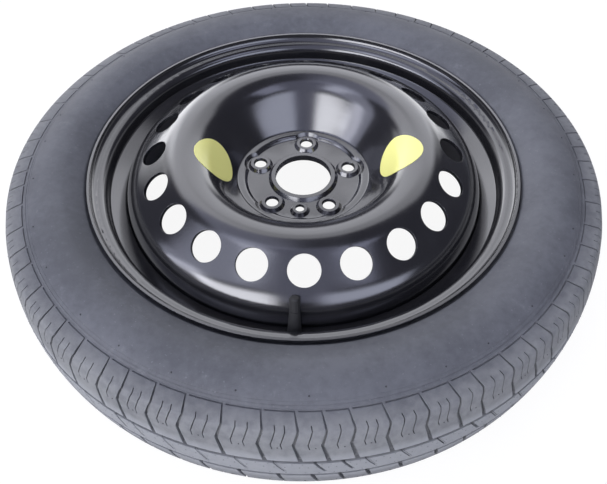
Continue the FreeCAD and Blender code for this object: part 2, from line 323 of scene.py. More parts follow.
@dataclass(frozen=True)
class MouldedBlack(Finish):
    """Black moulded rubber or plastic with a fine grain."""

    name: str = "moulded_black"
    colour: Colour = (0.004, 0.004, 0.005)
    worn: Colour = (0.010, 0.010, 0.011)
    roughness: float = 0.5
    grain: float = 1800.0
    edge: float = 0.0004

    def shade(self, graph: Graph) -> bpy.types.Node:
        """A mottled black with grain in colour, roughness and bump.

        Args:
            graph: The material's graph.

        Returns:
            The shader's node.
        """
        coords, _, _ = self.place(graph)
        mottle = graph.noise(coords, self.grain * 0.25, 3.0)
        grain = graph.noise(coords, self.grain, 2.0)
        return graph.node("ShaderNodeBsdfPrincipled", None, {
            "Base Color": graph.mix(graph.step(mottle, 0.4, 0.75), self.colour, self.worn),
            "Roughness": self.roughness + 0.15 * mottle,
            "Normal": self.bump(graph, grain, 0.000006, self.edge)})


@dataclass(frozen=True)
class BareMetal(Finish):
    """Turned or drawn bare metal."""

    name: str = "bare_metal"
    bright: Colour = (0.6, 0.6, 0.62)
    dull: Colour = (0.42, 0.42, 0.44)
    roughness: float = 0.28

    def shade(self, graph: Graph) -> bpy.types.Node:
        """Tarnish clouds and fine tool marks.

        Args:
            graph: The material's graph.

        Returns:
            The shader's node.
        """
        coords, _, height = self.place(graph)
        tarnish = graph.noise(coords, 500.0, 4.0)
        marks = graph.math("SINE", height * 42000.0) * 0.5 + 0.5
        return graph.node("ShaderNodeBsdfPrincipled", None, {
            "Base Color": graph.mix(graph.step(tarnish, 0.35, 0.75), self.bright, self.dull),
            "Metallic": 1.0, "Roughness": self.roughness + 0.18 * tarnish,
            "Normal": self.bump(graph, marks, 0.00001)})


@dataclass(frozen=True)
class LabelFilm(Finish):
    """Pale yellow vinyl film, slightly faded."""

    name: str = "label_film"
    colour: Colour = (0.80, 0.79, 0.22)
    faded: Colour = (0.83, 0.82, 0.33)

    def shade(self, graph: Graph) -> bpy.types.Node:
        """Faded clouds, faint handling marks and a smooth film.

        Args:
            graph: The material's graph.

        Returns:
            The shader's node.
        """
        coords, _, _ = self.place(graph)
        clouds = graph.noise(coords, 60.0, 3.0)
        marks = graph.noise(coords, 700.0, 3.0)
        colour = graph.mix(graph.step(clouds, 0.35, 0.7), self.colour, self.faded)
        return graph.node("ShaderNodeBsdfPrincipled", None, {
            "Base Color": colour, "Roughness": 0.34 + 0.2 * marks,
            "Normal": self.bump(graph, clouds * 0.8 + marks * 0.2, 0.00006)})


@dataclass(frozen=True)
class FloorFinish(Finish):
    """Plain white floor that keeps a soft shadow of the object."""

    name: str = "studio_floor"
    glow: float = 0.92
    catch: float = 0.11
    bounce: float = 0.75
    # Radii from the axis over which reflections go from the painted shadow under the wheel to the white glow.
    under: tuple[float, float] = (0.24, 0.42)

    def shade(self, graph: Graph) -> bpy.types.Node:
        """White to the eye and to reflections away from the wheel, and a plain pale floor to the light; under
        the wheel, reflections lose the glow, a painted shadow of the wheel.

        Args:
            graph: The material's graph.

        Returns:
            The shader's node.
        """
        path = {name: Value(graph, socket) for name, socket in
                graph.node("ShaderNodeLightPath").outputs.items()}
        _, radius, _ = self.place(graph)
        # Painted shadow: reflections see the white glow only outside these radii, and the plain pale floor
        # under the wheel.
        mirrored_past_painted_shadow = path["Is Glossy Ray"] * graph.step(radius, *self.under)
        seen = graph.math("MAXIMUM", path["Is Camera Ray"], mirrored_past_painted_shadow)
        seen = graph.math("MAXIMUM", seen, path["Is Transmission Ray"])
        glow = graph.node("ShaderNodeEmission", None, {"Color": (1.0, 1.0, 1.0), "Strength": self.glow})
        catch = graph.node("ShaderNodeBsdfDiffuse", None, {"Color": (self.catch,) * 3})
        shown = graph.node("ShaderNodeAddShader", None, {0: glow.outputs[0], 1: catch.outputs[0]})
        bounce = graph.node("ShaderNodeBsdfDiffuse", None, {"Color": (self.bounce,) * 3})
        return graph.node("ShaderNodeMixShader", None, {0: seen, 1: bounce.outputs[0], 2: shown.outputs[0]})


# Mesh helpers


def mesh_object(name: str, vertices: np.ndarray, faces: Sequence[Sequence[int]]) -> bpy.types.Object:
    """Makes a mesh object at the origin.

    Args:
        name: The object's name.
        vertices: Rows of x, y and z in metres.
        faces: Vertex numbers of each face.

    Returns:
        The linked object.
    """
    mesh = bpy.data.meshes.new(name)
    mesh.from_pydata([tuple(row) for row in vertices.tolist()], [], [tuple(face) for face in faces])
    mesh.update()
    made = bpy.data.objects.new(name, mesh)
    bpy.context.scene.collection.objects.link(made)
    return made


def grid_faces(rows: int, columns: int, closed: bool = False) -> list[tuple[int, int, int, int]]:
    """Quads of a grid.

    Args:
        rows: Number of rows.
        columns: Number of columns.
        closed: Whether the last column joins the first.

    Returns:
        Four vertex numbers for each quad.
    """
    faces = []
    for row in range(rows - 1):
        for column in range(columns if closed else columns - 1):
            after = (column + 1) % columns
            faces.append((row * columns + column, (row + 1) * columns + column,
                          (row + 1) * columns + after, row * columns + after))
    return faces


def settle(piece: bpy.types.Object) -> bpy.types.Object:
    """Turns a piece's live modifiers into its plain mesh.

    Args:
        piece: The piece.

    Returns:
        The same piece.
    """
    graph = bpy.context.evaluated_depsgraph_get()
    mesh = bpy.data.meshes.new_from_object(piece.evaluated_get(graph), depsgraph=graph)
    piece.modifiers.clear()
    piece.data = mesh
    return piece


def add_nodes(piece: bpy.types.Object, tree: bpy.types.NodeTree, inputs: dict[str, Any]) -> None:
    """Adds a Geometry Nodes modifier and sets its named inputs by their identifiers.

    Args:
        piece: The object that gets it.
        tree: The node tree.
        inputs: Values by input name.
    """
    modifier = piece.modifiers.new(tree.name, "NODES")
    modifier.node_group = tree
    for item in tree.interface.items_tree:
        if item.item_type == "SOCKET" and item.in_out == "INPUT" and item.name in inputs:
            modifier[item.identifier] = inputs[item.name]


def new_tree(name: str, inputs: Iterable[tuple[str, str]]) -> tuple[Graph, bpy.types.Node]:
    """Starts a Geometry Nodes tree.

    Args:
        name: The tree's name.
        inputs: Name and socket type of each input after the geometry.

    Returns:
        The graph and its input node.
    """
    tree = bpy.data.node_groups.new(name, "GeometryNodeTree")
    tree.interface.new_socket("Geometry", in_out="OUTPUT", socket_type="NodeSocketGeometry")
    tree.interface.new_socket("Geometry", in_out="INPUT", socket_type="NodeSocketGeometry")
    for label, kind in inputs:
        tree.interface.new_socket(label, in_out="INPUT", socket_type=kind)
    graph = Graph(tree)
    return graph, graph.node("NodeGroupInput")


def point_cloud(name: str, places: np.ndarray,
                attributes: dict[str, tuple[str, np.ndarray]]) -> bpy.types.Object:
    """Makes a mesh of loose points with named attributes, for instances to sit on.

    Args:
        name: The object's name.
        places: Rows of x, y and z in metres.
        attributes: Type and values of each attribute.

    Returns:
        The linked object.
    """
    made = mesh_object(name, places, [])
    for label, (kind, values) in attributes.items():
        layer = made.data.attributes.new(label, kind, "POINT")
        layer.data.foreach_set("vector" if kind == "FLOAT_VECTOR" else "value", values.ravel())
    return made


# Tyre


class Pitch(Enum):
    """Lengths of tread block, as shares of the middle one, and the places of their sipes."""

    SHORT = ("S", 0.80, (0.50,), 0.60)
    MEDIUM = ("M", 1.00, (0.36, 0.64), 0.34)
    LONG = ("L", 1.16, (0.35, 0.65), 0.34)

    @property
    def letter(self) -> str:
        """Its letter in the tread's order."""
        return self.value[0]

    @property
    def share(self) -> float:
        """Its length as a share of the middle one."""
        return self.value[1]

    @property
    def sipes(self) -> tuple[float, ...]:
        """Places of its sipes, as shares of its length."""
        return self.value[2]

    @property
    def notch(self) -> float:
        """Place of its centre notch, as a share of its length."""
        return self.value[3]


@dataclass
class Section:
    """Outline of the tyre in millimetres: x from the rim's centre plane, r from the axis."""

    crown: float = 302.95
    crown_bend: float = 160.0
    tread_half: float = 49.0
    shoulder_bend: float = 9.0
    shoulder: tuple[float, float] = (53.4, 276.2)
    widest: tuple[float, float] = (62.9, 248.3)
    flat_from: float = 237.0
    clinch: tuple[float, float] = (53.4, 220.6)
    bead_face: float = 44.4
    bead_top: float = 213.0
    bead_seat: float = 202.85
    bead_toe: float = 30.4
    wall: float = 7.0
    liner: float = 291.2
    centre: float = -22.0

    def tread_half_outline(self) -> np.ndarray:
        """Outline of half the tread, from the shoulder's edge to the middle of the crown.

        Returns:
            Rows of x and r.
        """
        crown_base = self.crown - self.crown_bend
        edge_rise = math.sqrt(self.crown_bend ** 2 - self.tread_half ** 2)
        edge = np.array([self.tread_half, crown_base + edge_rise])
        foot = np.array(self.shoulder)
        along = (foot - edge) / np.linalg.norm(foot - edge)
        inward = np.array([along[1], -along[0]])
        start = edge + inward * self.shoulder_bend - np.array([0.0, crown_base])
        reach = self.crown_bend - self.shoulder_bend
        dot = float(start @ along)
        slide = -dot - math.sqrt(dot * dot - float(start @ start) + reach * reach)
        middle = start + along * slide + np.array([0.0, crown_base])
        first = math.atan2(*(-inward)[::-1])
        rim = middle - np.array([0.0, crown_base])
        last = math.atan2(rim[1], rim[0])
        turns = np.linspace(first, last, 60)
        arc = middle + self.shoulder_bend * np.stack([np.cos(turns), np.sin(turns)], 1)
        straight = np.linspace(0.0, 1.0, 80)[:-1, None]
        side = foot + (arc[0] - foot) * straight
        sweep = np.linspace(last, math.pi / 2, 300)[1:]
        top = self.crown_bend * np.stack([np.cos(sweep), np.sin(sweep)], 1) + np.array([0.0, crown_base])
        return np.concatenate([side, arc, top])

    def bulge(self, inset: float) -> np.ndarray:
        """Outline of the sidewall, over its arc and straight down to the clinch.

        Args:
            inset: How far it is moved in.

        Returns:
            Rows of x and r.
        """
        (x1, r1), (x2, r2) = self.shoulder, self.widest
        rise, half = x2 - x1, r1 - r2
        bend = (half * half + rise * rise) / (2 * rise)
        turns = np.linspace(math.asin(half / bend), math.asin((self.flat_from - r2) / bend), 20)
        arc = np.stack([x2 - bend + bend * np.cos(turns), r2 + bend * np.sin(turns)], 1)
        return np.concatenate([arc, [self.clinch]]) - np.array([inset, 0.0])

    def place(self, x: np.ndarray, r: np.ndarray, turn: np.ndarray) -> np.ndarray:
        """Points in metres from section places and turns, which run from -Y towards +X."""
        return np.stack([r * np.sin(turn), -r * np.cos(turn), x + self.centre], -1) * MM


@dataclass
class Tread:
    """Zigzag shoulder blocks, two ring grooves and a notched centre rib, all in millimetres."""

    section: Section
    order: str = "LLMSSMLMSLMSMLSMM" * 4
    first_turn: float = -19.65
    zigzag: tuple[tuple[float, float], ...] = ((0.0, 0.0), (17.3, 3.6), (31.4, 0.0), (52.4, 5.3))
    slot_width: tuple[float, float] = (1.3, 3.8)
    slot_depth: tuple[float, float] = (1.0, 3.6)
    slot_bend: tuple[float, float] = (14.0, 2.6)
    slot_floor: float = 0.8
    line_place: tuple[float, float] = (1.6, 2.6)
    line_start: float = 3.2
    line_depth: float = 1.1
    sipe_reach: tuple[float, float] = (13.0, 36.6)
    sipe_width: float = 0.85
    sipe_depth: float = 2.6
    ring_reach: tuple[float, float] = (10.7, 14.5)
    ring_depth: float = 4.2
    ring_shift: float = 2.2
    notch_end: float = -5.0
    notch_width: float = 2.7
    notch_depth: tuple[float, float] = (1.8, 4.0)
    notch_lean: float = 0.55
    draft: float = 0.12
    plain_rows: tuple[float, ...] = (0.0, 6.0, 14.5, 17.5, 20.5, 30.0, 38.0, 44.0)
    rib_rows: tuple[float, ...] = (5.0, 0.0)
    weld: float = 2e-6
    unit: float = field(init=False)
    outline: np.ndarray = field(init=False)
    run: np.ndarray = field(init=False)
    total: float = field(init=False)

    def __post_init__(self) -> None:
        """Works out the middle pitch's turn and the outline's lengths."""
        shares = {kind.letter: kind.share for kind in Pitch}
        self.unit = 2 * math.pi / sum(shares[letter] for letter in self.order)
        half = self.section.tread_half_outline()
        self.outline = np.concatenate([half, (half * np.array([-1.0, 1.0]))[-2::-1]])
        steps = np.linalg.norm(np.diff(self.outline, axis=0), axis=1)
        self.run = np.concatenate([[0.0], np.cumsum(steps)])
        self.total = float(self.run[-1])

    def run_at(self, x: float) -> float:
        """Length along the outline at a distance from the centre plane, on the crown."""
        return float(np.interp(-x, -self.outline[:, 0], self.run))

    def rows(self) -> list[float]:
        """Places of the grid's rows, from shoulder to shoulder.

        Returns:
            Sorted lengths along the outline.
        """
        d = self.draft
        half = list(self.plain_rows)
        half += [place for place, _ in self.zigzag[1:3]]
        for low, high in (self.line_place, self.sipe_reach):
            half += [low - d, low, high, high + d]
        crown = []
        for low, high in (self.ring_reach, (-self.ring_reach[1], -self.ring_reach[0])):
            crown += [low - d, low, high, high + d]
        crown += [self.notch_end, self.notch_end - d, *self.rib_rows]
        places = half + [self.total - place for place in half] + [self.run_at(x) for x in crown]
        return sorted(set(round(place, 5) for place in places))

    def shift(self, run: float) -> float:
        """How far the grid leans round the tyre at a length along the outline.

        Args:
            run: Length along the outline.

        Returns:
            The lean in millimetres.
        """
        foot, head = self.run_at(self.ring_reach[1]), self.run_at(self.ring_reach[0])
        places, shifts = zip(*self.zigzag)
        if run <= foot:
            return float(np.interp(run, places, shifts))
        near_lean = shifts[-1] - self.ring_shift
        far_lean = near_lean + self.notch_lean * 2 * self.ring_reach[0]
        if run < self.total - foot:
            return float(np.interp(run, (foot, head, self.total - head, self.total - foot),
                                   (shifts[-1], near_lean, far_lean, far_lean)))
        return far_lean + shifts[-1] - float(np.interp(self.total - run, places, shifts))

    def cut(self, place: float, width: float, draft: float, mark: str) -> list[tuple[float, float, str]]:
        """Columns of a straight cut: its two edges and the two sides of its floor."""
        half = width / 2
        marks = ((-half, ""), (draft - half, mark), (half - draft, mark), (half, ""))
        return [(place + offset, 0.0, label) for offset, label in marks]

    def columns(self, kind: Pitch) -> list[tuple[float, float, str]]:
        """Columns of one block's grid.

        Args:
            kind: The block's pitch.

        Returns:
            Place in millimetres, share of the slot's half width and mark of each column.
        """
        length = kind.share * self.unit * self.section.crown
        made = [(0.0, 0.0, "slot"), (0.0, self.slot_floor, "slot"), (0.0, 1.0, "")]
        made += [(self.line_start, 0.0, ""), (self.line_start + self.draft, 0.0, "line")]
        for share in kind.sipes:
            made += self.cut(share * length, self.sipe_width, self.draft, "sipe")
        made += self.cut(kind.notch * length, self.notch_width, 2 * self.draft, "notch")
        made.sort(key=lambda column: column[0] + column[1])
        return made + [(length, -1.0, ""), (length, -self.slot_floor, "slot"), (length, 0.0, "slot")]

    def depth(self, run: float, x: float, mark: str, after_line: bool) -> float:
        """Depth of the tread below its outline at one row and column.

        Args:
            run: The row's length along the outline.
            x: The row's distance from the centre plane.
            mark: The column's mark.
            after_line: Whether the column lies past the start of the shoulder's line.

        Returns:
            The depth in millimetres.
        """
        near = min(run, self.total - run)
        foot = self.run_at(self.ring_reach[1])
        edge, line_end = self.line_place
        slack = self.draft / 2
        depths = [0.0]
        if self.ring_reach[0] - slack <= abs(x) <= self.ring_reach[1] + slack:
            depths.append(self.ring_depth)
        if mark == "slot" and edge - TOUCH <= near <= foot + self.draft + TOUCH:
            floor = (self.slot_depth[0], self.slot_bend[1], self.slot_depth[1])
            depths.append(float(np.interp(near, (edge, self.slot_bend[0], foot), floor)))
        if after_line and edge - TOUCH <= near <= line_end + TOUCH:
            depths.append(self.line_depth)
        if mark == "sipe" and self.sipe_reach[0] - TOUCH <= near <= self.sipe_reach[1] + TOUCH:
            depths.append(self.sipe_depth)
        if mark == "notch" and self.notch_end - TOUCH <= x <= self.ring_reach[0] + self.draft:
            depths.append(float(np.interp(x, (self.notch_end, self.ring_reach[0]), self.notch_depth)))
        return max(depths)

    def block(self, kind: Pitch) -> bpy.types.Object:
        """One pitch of the tread, from the middle of a slot to the middle of the next.

        Args:
            kind: The block's pitch.

        Returns:
            The block's object.
        """
        rows, columns = self.rows(), self.columns(kind)
        tangents = np.gradient(self.outline, self.run, axis=0)
        foot = self.run_at(self.ring_reach[1])
        points = np.zeros((len(rows), len(columns), 3))
        for i, run in enumerate(rows):
            x, r = (float(np.interp(run, self.run, self.outline[:, k])) for k in (0, 1))
            along = np.array([float(np.interp(run, self.run, tangents[:, k])) for k in (0, 1)])
            along /= np.linalg.norm(along)
            outward = np.array([along[1], -along[0]]) * (-1.0 if along[1] * x - along[0] * r < 0 else 1.0)
            near = min(run, self.total - run)
            half = float(np.interp(near, (0.0, foot), self.slot_width)) / 2
            lean = self.shift(run)
            passed = False
            for j, (place, share, mark) in enumerate(columns):
                passed = passed or mark == "line"
                down = self.depth(run, x, mark, passed)
                spot = np.array([x, r]) - outward * down
                turn = (place + share * half + lean) / self.section.crown
                points[i, j] = self.section.place(spot[0], spot[1], np.array(turn))
        return mesh_object(f"block_{kind.letter}", points.reshape(-1, 3), grid_faces(len(rows), len(columns)))

    def build(self) -> bpy.types.Object:
        """The whole tread: a point for each block, with the blocks set there and joined.

        Returns:
            The tread's object.
        """
        kinds = {kind.letter: number for number, kind in enumerate(Pitch)}
        shares = {kind.letter: kind.share for kind in Pitch}
        lengths = np.array([shares[letter] for letter in self.order]) * self.unit
        turns = math.radians(self.first_turn) + np.concatenate([[0.0], np.cumsum(lengths)[:-1]])
        spots = point_cloud("tread_blocks", np.zeros((len(self.order), 3)), {
            "turn": ("FLOAT", turns.astype(np.float32)),
            "kind": ("INT", np.array([kinds[letter] for letter in self.order], np.int32))})
        graph, start = new_tree("tread_ring", [
            *((f"Block {kind.letter}", "NodeSocketObject") for kind in Pitch),
            ("Weld", "NodeSocketFloat"), ("Rubber", "NodeSocketMaterial")])
        turn = graph.node("GeometryNodeInputNamedAttribute", {"data_type": "FLOAT"}, {"Name": "turn"})
        wanted = graph.node("GeometryNodeInputNamedAttribute", {"data_type": "INT"}, {"Name": "kind"})
        spin = graph.node("ShaderNodeCombineXYZ", None, {"Z": turn.outputs[0]})
        join = graph.node("GeometryNodeJoinGeometry")
        for number, kind in enumerate(Pitch):
            source = graph.node("GeometryNodeObjectInfo", None,
                                {"Object": start.outputs[f"Block {kind.letter}"]})
            chosen = graph.node("FunctionNodeCompare", {"data_type": "INT", "operation": "EQUAL"},
                                {2: wanted.outputs[0], 3: number})
            ring = graph.node("GeometryNodeInstanceOnPoints", None, {
                "Points": start.outputs[0], "Selection": chosen.outputs[0],
                "Instance": source.outputs["Geometry"], "Rotation": spin.outputs[0]})
            graph.tree.links.new(ring.outputs[0], join.inputs[0])
        real = graph.node("GeometryNodeRealizeInstances", None, {0: join.outputs[0]})
        weld = graph.node("GeometryNodeMergeByDistance", None, {"Geometry": real.outputs[0],
                                                                "Distance": start.outputs["Weld"]})
        dressed = graph.node("GeometryNodeSetMaterial", None, {"Geometry": weld.outputs[0],
                                                               "Material": start.outputs["Rubber"]})
        graph.node("NodeGroupOutput", None, {0: dressed.outputs[0]})
        blocks = {f"Block {kind.letter}": self.block(kind) for kind in Pitch}
        add_nodes(spots, graph.tree, {**blocks, "Weld": self.weld, "Rubber": TyreRubber().material()})
        settle(spots)
        for block in blocks.values():
            bpy.data.objects.remove(block)
        return spots


@dataclass
class Casing:
    """Sidewalls with mould rings, beads and the inner liner, in millimetres."""

    section: Section
    segments: int = 360
    rings: tuple[tuple[float, float], ...] = ((274.4, 0.35), (271.6, 0.2))
    ring_width: float = 0.7
    ring_flat: float = 0.4
    fold: tuple[float, float] = (-1.2, -1.0)
    tuck: tuple[float, float] = (4.0, -2.4)
    heel: tuple[tuple[float, float], ...] = ((0.0, 7.0), (-1.4, 2.6), (-4.6, 0.2), (-7.0, -0.6))
    toe: tuple[float, float] = (-1.1, 6.9)
    liner_half: float = 35.0

    def side(self) -> np.ndarray:
        """Outline of one side from the shoulder round the bead to the liner.

        Returns:
            Rows of x and r.
        """
        cut = self.section
        arc = cut.bulge(0.0)
        wall = [tuple(arc[0])]
        places = list(arc[1:, 1])
        for radius, _ in self.rings:
            half = self.ring_width / 2
            flat = half * self.ring_flat
            places += [radius + half, radius + flat, radius - flat, radius - half]
        for place in sorted(places, reverse=True):
            x = float(np.interp(-place, -arc[:, 1], arc[:, 0]))
            raised = max((height for radius, height in self.rings
                          if abs(place - radius) < self.ring_width * 0.25), default=0.0)
            wall.append((x - raised, place))
        bead = [(cut.clinch[0] + self.fold[0], cut.clinch[1] + self.fold[1]),
                (cut.bead_face + self.tuck[0], cut.clinch[1] + self.tuck[1]), (cut.bead_face, cut.bead_top)]
        bead += [(cut.bead_face + x, cut.bead_seat + r) for x, r in self.heel]
        bead += [(cut.bead_toe, cut.bead_seat + r) for r in self.toe]
        inner = [tuple(point) for point in cut.bulge(cut.wall)[::-1]]
        return np.array(wall + bead + inner + [(self.liner_half, cut.liner)])

    def build(self) -> bpy.types.Object:
        """Both sides and the liner, turned round the axis as one open shell.

        Returns:
            The casing's object.
        """
        side = self.side()
        outline = np.concatenate([side, (side * np.array([-1.0, 1.0]))[::-1]])
        turns = np.linspace(0.0, 2 * math.pi, self.segments, endpoint=False)
        points = self.section.place(np.repeat(outline[:, :1], self.segments, 1),
                                    np.repeat(outline[:, 1:], self.segments, 1), turns[None, :])
        faces = [face[::-1] for face in grid_faces(len(outline), self.segments, True)]
        return mesh_object("tyre_casing", points.reshape(-1, 3), faces)


@dataclass
class VentPips:
    """Short rubber stubs that the mould's vents leave on the sidewalls and the tread."""

    section: Section
    tread: Tread
    radius: float = 0.85
    taper: float = 0.62
    height: float = 0.66
    wall_radius: float = 268.0
    wall_count: int = 31
    wall_sink: float = 0.15
    wall_way: tuple[float, float] = (0.92, 0.38)
    wall_jitter: float = 0.2
    tread_sink: float = 0.46
    tread_spots: tuple[tuple[float, float], ...] = (
        (33.0, 0.52), (-33.0, 0.62), (8.8, 0.12), (8.8, 0.80), (3.2, 0.18), (3.2, 0.48), (3.2, 0.90),
        (-7.5, 0.30), (-7.5, 0.86))
    shoulder_from: float = 20.0
    short_share: float = 0.72
    seed: int = 7
    rubber: TyreRubber = TyreRubber("stub_rubber", (0.030, 0.030, 0.034), (0.040, 0.041, 0.045),
                                    (0.060, 0.061, 0.064), (0.060, 0.061, 0.064))

    def spots(self) -> tuple[np.ndarray, np.ndarray]:
        """Finds where the stubs stand.

        Returns:
            Places in metres and outward directions.
        """
        rng = np.random.default_rng(self.seed)
        arc = self.section.bulge(0.0)
        places, ways = [], []

        def add(x: float, r: float, turn: float, out_x: float, out_r: float) -> None:
            """Adds one stub at a section place and a turn."""
            places.append(self.section.place(np.array(x), np.array(r), np.array(turn)))
            ways.append((out_r * math.sin(turn), -out_r * math.cos(turn), out_x))

        wall_x = float(np.interp(-self.wall_radius, -arc[:, 1], arc[:, 0]))
        for side in (1.0, -1.0):
            for number in range(self.wall_count):
                turn = 2 * math.pi * (number + self.wall_jitter * rng.uniform(-1, 1)) / self.wall_count
                add(side * (wall_x - self.wall_sink), self.wall_radius, turn,
                    side * self.wall_way[0], self.wall_way[1])
        turn = math.radians(self.tread.first_turn)
        kinds = {kind.letter: kind for kind in Pitch}
        for letter in self.tread.order:
            kind = kinds[letter]
            length = kind.share * self.tread.unit
            for x, share in self.tread_spots:
                if kind is Pitch.SHORT and abs(x) > self.shoulder_from:
                    share = self.short_share
                run = self.tread.run_at(x)
                r = float(np.interp(run, self.tread.run, self.tread.outline[:, 1]))
                lean = self.tread.shift(run) / self.section.crown
                add(x, r - self.tread_sink, turn + share * length + lean, x / self.section.crown_bend, 1.0)
            turn += length
        return np.array(places), np.array(ways)

    def build(self) -> bpy.types.Object:
        """The stubs, set square on the surface and joined to one mesh.

        Returns:
            The stubs' object.
        """
        places, ways = self.spots()
        ways /= np.linalg.norm(ways, axis=1)[:, None]
        piece = point_cloud("tyre_vent_pips", places, {"way": ("FLOAT_VECTOR", ways.astype(np.float32))})
        graph, start = new_tree("vent_pips", [("Radius", "NodeSocketFloat"), ("Height", "NodeSocketFloat"),
                                              ("Rubber", "NodeSocketMaterial")])
        way = graph.node("GeometryNodeInputNamedAttribute", {"data_type": "FLOAT_VECTOR"}, {"Name": "way"})
        align = graph.node("FunctionNodeAlignRotationToVector", {"axis": "Z"}, {"Vector": way.outputs[0]})
        stub = graph.node("GeometryNodeMeshCone", {"fill_type": "NGON"}, {
            "Vertices": 8, "Side Segments": 1, "Fill Segments": 1, "Radius Bottom": start.outputs["Radius"],
            "Radius Top": Value(graph, start.outputs["Radius"]) * self.taper,
            "Depth": start.outputs["Height"]})
        set_on = graph.node("GeometryNodeInstanceOnPoints", None, {
            "Points": start.outputs[0], "Instance": stub.outputs[0], "Rotation": align.outputs[0]})
        real = graph.node("GeometryNodeRealizeInstances", None, {0: set_on.outputs[0]})
        dressed = graph.node("GeometryNodeSetMaterial", None, {"Geometry": real.outputs[0],
                                                               "Material": start.outputs["Rubber"]})
        graph.node("NodeGroupOutput", None, {0: dressed.outputs[0]})
        add_nodes(piece, graph.tree, {"Radius": self.radius * MM, "Height": self.height * MM,
                                      "Rubber": self.rubber.material()})
        return settle(piece)


@dataclass
class Tyre:
    """The moulded tyre that stands for the frame's plain one."""

    section: Section = field(default_factory=Section)
    node: str = "tyre"
    body: str = "root"
    slot: str = "tyre"
    crease: float = 32.0

    def build(self) -> list[bpy.types.Object]:
        """Builds the tread, the casing and the vent stubs, and sets them on the wheel.

        Returns:
            The moulded tyre and its stubs.
        """
        tread = Tread(self.section)
        shell = tread.build()
        casing = Casing(self.section).build()
        joined = bmesh.new()
        joined.from_mesh(shell.data)
        joined.from_mesh(casing.data)
        mesh = bpy.data.meshes.new("tyre_moulded")
        joined.to_mesh(mesh)
        joined.free()
        for part in (shell, casing):
            bpy.data.objects.remove(part)
        mesh.polygons.foreach_set("use_smooth", [True] * len(mesh.polygons))
        mesh.set_sharp_from_angle(angle=math.radians(self.crease))
        mesh.materials.clear()
        mesh.materials.append(TyreRubber().material())
        moulded = bpy.data.objects.new("tyre_moulded", mesh)
        bpy.context.scene.collection.objects.link(moulded)
        pips = VentPips(self.section, tread).build()
        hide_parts(self.node)
        for piece in (moulded, pips):
            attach(piece, self.body)
        return [moulded, pips]


# Steel wheel and valve


@dataclass
class FrameDress:
    """Finishes for the frame's own pieces, with smooth faces and crisp edges."""

    finishes: dict[str, Finish]
    crease: float = 28.0
    weld: float = 1e-6

    def smoothing(self) -> bpy.types.NodeTree:
        """Tree that welds a loose shell, smooths its faces and keeps its edges past an angle sharp.

        Returns:
            The node tree.
        """
        graph, start = new_tree("smooth_shell", [("Crease", "NodeSocketFloat")])
        weld = graph.node("GeometryNodeMergeByDistance", None,
                          {"Geometry": start.outputs[0], "Distance": self.weld})
        soft = graph.node("GeometryNodeSetShadeSmooth", {"domain": "FACE"}, {"Geometry": weld.outputs[0],
                                                                            "Shade Smooth": True})
        angle = graph.node("GeometryNodeInputMeshEdgeAngle")
        past = graph.node("FunctionNodeCompare", {"data_type": "FLOAT", "operation": "GREATER_THAN"},
                          {0: angle.outputs[0], 1: start.outputs["Crease"]})
        crisp = graph.node("GeometryNodeSetShadeSmooth", {"domain": "EDGE"}, {
            "Geometry": soft.outputs[0], "Selection": past.outputs[0], "Shade Smooth": False})
        graph.node("NodeGroupOutput", None, {0: crisp.outputs[0]})
        return graph.tree

    def dress(self, nodes: dict[str, bpy.types.Object]) -> None:
        """Gives each named piece of the frame its finish.

        Args:
            nodes: The frame's objects by node name.
        """
        tree = self.smoothing()
        for name, finish in self.finishes.items():
            piece = nodes[name]
            piece.data.materials.clear()
            piece.data.materials.append(finish.material())
            add_nodes(piece, tree, {"Crease": math.radians(self.crease)})
            LOG.info("dressed %s with %s", name, finish.name)


# Studio


@dataclass(frozen=True)
class Panel:
    """A soft light panel far away: its reach over the top from the back, and to the sides, in degrees."""

    over: tuple[float, float]
    aside: tuple[float, float]
    colour: Colour
    strength: float
    soft: tuple[float, float] = (8.0, 8.0)


